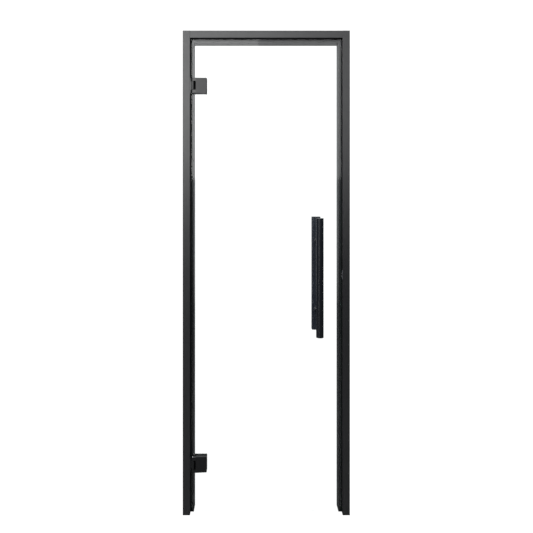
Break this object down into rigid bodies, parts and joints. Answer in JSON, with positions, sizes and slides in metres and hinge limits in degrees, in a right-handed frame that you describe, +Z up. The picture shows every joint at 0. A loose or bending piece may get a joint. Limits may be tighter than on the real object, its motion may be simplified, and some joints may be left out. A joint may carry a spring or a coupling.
{
  "type": "glass door",
  "caption": "Frameless glass leaf on clamp hinges in a slim black rebated aluminium frame, with back-to-back pull handles and a roller catch.",
  "frame": {"origin": "on the floor, in the middle of the frame's width, at the middle of the glass thickness", "axes": "+X to the closing edge (right, seen from the pull side), +Y through the doorway away from the hinge side's knuckles, +Z up"},
  "size_m": [0.69, 0.158, 2],
  "materials": {
    "frame_black": "satin black anodised or coated",
    "hinge_black": "satin black",
    "handle_black": "fine matt black",
    "bright_steel": "plain steel",
    "nylon_black": "matt",
    "seal_rubber": "soft matt",
    "clear_glass": "polished, clear, with ground edges"
  },
  "bodies": {
    "frame": {"jamb_left": "frame_black", "jamb_right": "frame_black", "head_profile": "frame_black", "corner_screws": "bright_steel", "foot_plugs": "nylon_black", "top_plugs": "nylon_black", "seal_left": "seal_rubber", "seal_right": "seal_rubber", "seal_head": "seal_rubber", "hinge_bracket_top": "hinge_black", "hinge_bracket_bottom": "hinge_black", "hinge_bushes": "nylon_black", "bracket_screws": "bright_steel", "catch_housing": "bright_steel", "catch_screws": "bright_steel", "catch_spring": "bright_steel", "fixing_caps": "nylon_black"},
    "leaf": {"glass_pane": "clear_glass", "hinge_front_top": "hinge_black", "hinge_front_bottom": "hinge_black", "hinge_back_top": "hinge_black", "hinge_back_bottom": "hinge_black", "hinge_gaskets": "seal_rubber", "clamp_screws": "bright_steel", "clamp_sleeves": "nylon_black", "hinge_pin_top": "bright_steel", "hinge_pin_bottom": "bright_steel", "handle_bar_front": "handle_black", "handle_bar_back": "handle_black", "handle_caps_front": "handle_black", "handle_caps_back": "handle_black", "handle_rosettes": "handle_black", "handle_washers": "nylon_black", "handle_studs": "bright_steel", "handle_sleeves": "nylon_black", "handle_grub_screws": "bright_steel"},
    "catch_plunger": {"catch_plunger": "bright_steel", "catch_pin": "bright_steel"},
    "catch_roller": {"catch_roller": "nylon_black"}
  },
  "joints": [
    {"name": "leaf_swing", "type": "hinge", "parent": "frame", "child": "leaf", "pos_m": [-0.3026, -0.015, 1], "axis": [0, 0, -1], "range_deg": [0, 110]},
    {"name": "catch_press", "type": "slide", "parent": "frame", "child": "catch_plunger", "axis": [1, 0, 0], "range_m": [0, 0.005], "stiffness_N_per_m": 1200, "springref_m": -0.003, "deforming": ["catch_spring"]},
    {"name": "catch_roller_spin", "type": "hinge", "parent": "catch_plunger", "child": "catch_roller", "pos_m": [0.312, -0.008, 0.992], "axis": [0, 0, 1], "continuous": true}
  ]
}
